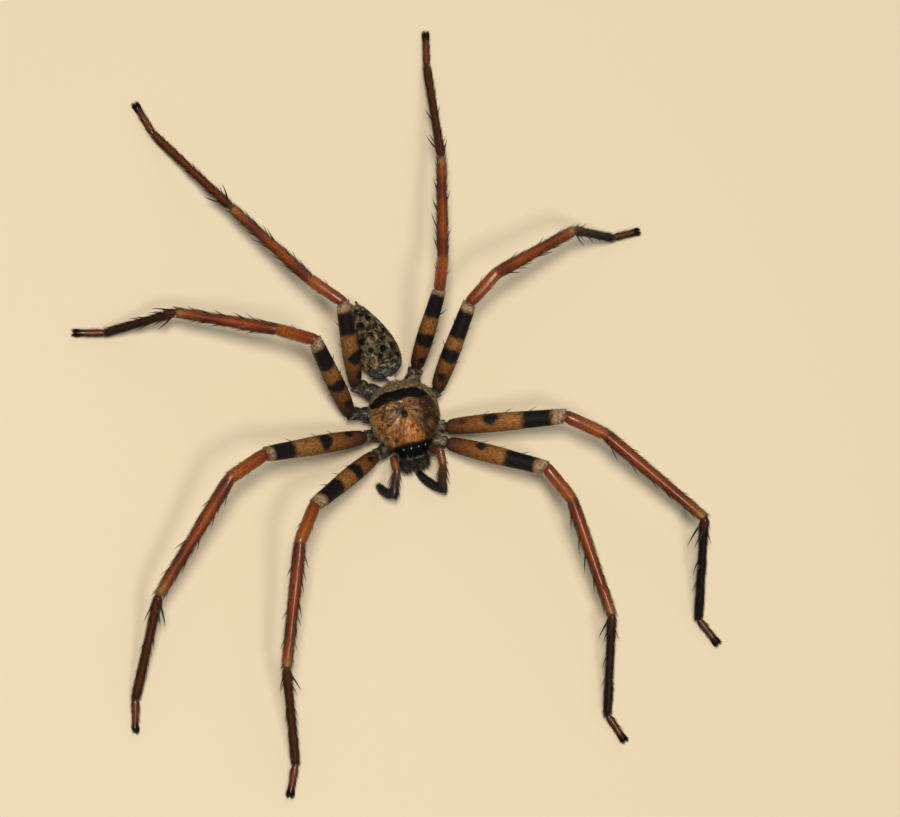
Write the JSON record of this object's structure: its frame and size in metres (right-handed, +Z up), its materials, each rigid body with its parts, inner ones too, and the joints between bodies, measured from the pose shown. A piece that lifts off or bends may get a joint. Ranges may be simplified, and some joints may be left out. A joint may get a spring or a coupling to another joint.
{
  "type": "huntsman spider, still life-size model",
  "caption": "Life-size still model of a huntsman spider standing with its long banded legs spread wide, head low, feelers folded.",
  "frame": {"origin": "on the ground, at the centre of the spider's footprint", "axes": "+Z up, head towards -Y and tail towards +Y, the spider's left side towards +X"},
  "size_m": [0.159, 0.191, 0.0237],
  "materials": {
    "shield_cuticle": "satin cuticle with short hairs",
    "abdomen_cuticle": "matt, short felted hair",
    "hip_cuticle": "satin cuticle with pale hairs",
    "femur_cuticle": "satin cuticle, banded",
    "tibia_cuticle": "glossy cuticle",
    "metatarsus_cuticle": "glossy dark cuticle",
    "tarsus_cuticle": "dark cuticle with brush hairs",
    "jaw_cuticle": "dark, hairy",
    "fang_cuticle": "polished",
    "feeler_cuticle": "satin cuticle",
    "feeler_tip_cuticle": "matt, densely haired",
    "waist_cuticle": "soft pale cuticle",
    "eye_lens": "polished"
  },
  "bodies": {
    "root": {"head_shield": "shield_cuticle", "abdomen": "abdomen_cuticle", "waist": "waist_cuticle", "jaw_L": "jaw_cuticle", "jaw_R": "jaw_cuticle", "fang_L": "fang_cuticle", "fang_R": "fang_cuticle", "feeler_arm_L": "feeler_cuticle", "feeler_arm_R": "feeler_cuticle", "feeler_tip_L": "feeler_tip_cuticle", "feeler_tip_R": "feeler_tip_cuticle", "eye_front_middle_L": "eye_lens", "eye_front_middle_R": "eye_lens", "eye_front_side_L": "eye_lens", "eye_front_side_R": "eye_lens", "eye_rear_middle_L": "eye_lens", "eye_rear_middle_R": "eye_lens", "eye_rear_side_L": "eye_lens", "eye_rear_side_R": "eye_lens", "hip_L1": "hip_cuticle", "hip_L2": "hip_cuticle", "hip_L3": "hip_cuticle", "hip_L4": "hip_cuticle", "hip_R1": "hip_cuticle", "hip_R2": "hip_cuticle", "hip_R3": "hip_cuticle", "hip_R4": "hip_cuticle", "femur_L1": "femur_cuticle", "femur_L2": "femur_cuticle", "femur_L3": "femur_cuticle", "femur_L4": "femur_cuticle", "femur_R1": "femur_cuticle", "femur_R2": "femur_cuticle", "femur_R3": "femur_cuticle", "femur_R4": "femur_cuticle", "tibia_L1": "tibia_cuticle", "tibia_L2": "tibia_cuticle", "tibia_L3": "tibia_cuticle", "tibia_L4": "tibia_cuticle", "tibia_R1": "tibia_cuticle", "tibia_R2": "tibia_cuticle", "tibia_R3": "tibia_cuticle", "tibia_R4": "tibia_cuticle", "metatarsus_L1": "metatarsus_cuticle", "metatarsus_L2": "metatarsus_cuticle", "metatarsus_L3": "metatarsus_cuticle", "metatarsus_L4": "metatarsus_cuticle", "metatarsus_R1": "metatarsus_cuticle", "metatarsus_R2": "metatarsus_cuticle", "metatarsus_R3": "metatarsus_cuticle", "metatarsus_R4": "metatarsus_cuticle", "tarsus_L1": "tarsus_cuticle", "tarsus_L2": "tarsus_cuticle", "tarsus_L3": "tarsus_cuticle", "tarsus_L4": "tarsus_cuticle", "tarsus_R1": "tarsus_cuticle", "tarsus_R2": "tarsus_cuticle", "tarsus_R3": "tarsus_cuticle", "tarsus_R4": "tarsus_cuticle"}
  },
  "joints": []
}
